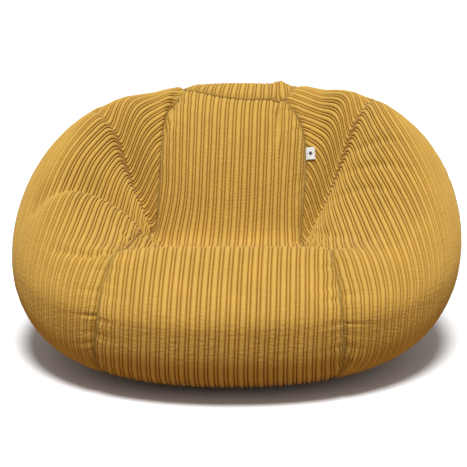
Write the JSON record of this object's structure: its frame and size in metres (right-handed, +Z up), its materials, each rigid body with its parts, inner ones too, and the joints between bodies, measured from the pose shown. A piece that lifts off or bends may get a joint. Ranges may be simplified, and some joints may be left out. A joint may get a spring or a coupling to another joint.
{
  "type": "bean bag chair",
  "caption": "Large round bean bag chair in wide-wale corduroy, with sewn gores, a seat pressed into its front, a leaning backrest and a zipped flat base.",
  "frame": {"origin": "on the floor, under the middle of the bag's bounding box", "axes": "+Z up, the open front of the seat faces -Y, and +X is to the right of a viewer who looks along +Y at the front"},
  "size_m": [0.8995, 0.8797, 0.4986],
  "materials": {
    "cord": "matte",
    "base_cloth": "matte",
    "zip_tape": "matte",
    "zip_nylon": "satin",
    "zip_metal": "satin",
    "label_cloth": "satin",
    "liner_cloth": "matte",
    "closure_tape": "matte",
    "beads": "matte"
  },
  "bodies": {
    "bag": {"front_gore": "cord", "right_front_gore": "cord", "right_rear_gore": "cord", "rear_gore": "cord", "left_rear_gore": "cord", "left_front_gore": "cord", "top_cap": "cord", "base_front_half": "base_cloth", "base_rear_half": "base_cloth", "care_label": "label_cloth", "zip_tape_front": "zip_tape", "zip_tape_rear": "zip_tape", "zip_coil_front": "zip_nylon", "zip_coil_rear": "zip_nylon", "zip_stop_closed_end": "zip_metal", "zip_stop_open_end": "zip_metal", "liner_front_half": "liner_cloth", "liner_rear_half": "liner_cloth", "liner_closure_hook": "closure_tape", "liner_closure_loop": "closure_tape", "bead_fill": "beads"},
    "slider": {"zip_slider": "zip_metal"},
    "flag": {"label_flag": "label_cloth"}
  },
  "joints": [
    {"name": "zip_slide", "type": "slide", "parent": "bag", "child": "slider", "axis": [1, 0, 0], "range_m": [0, 0.29]},
    {"name": "flag_hinge", "type": "hinge", "parent": "bag", "child": "flag", "pos_m": [0.14218, 0.05745, 0.37006], "axis": [0.0228, -0.514, -0.8575], "range_deg": [0, 110]}
  ]
}
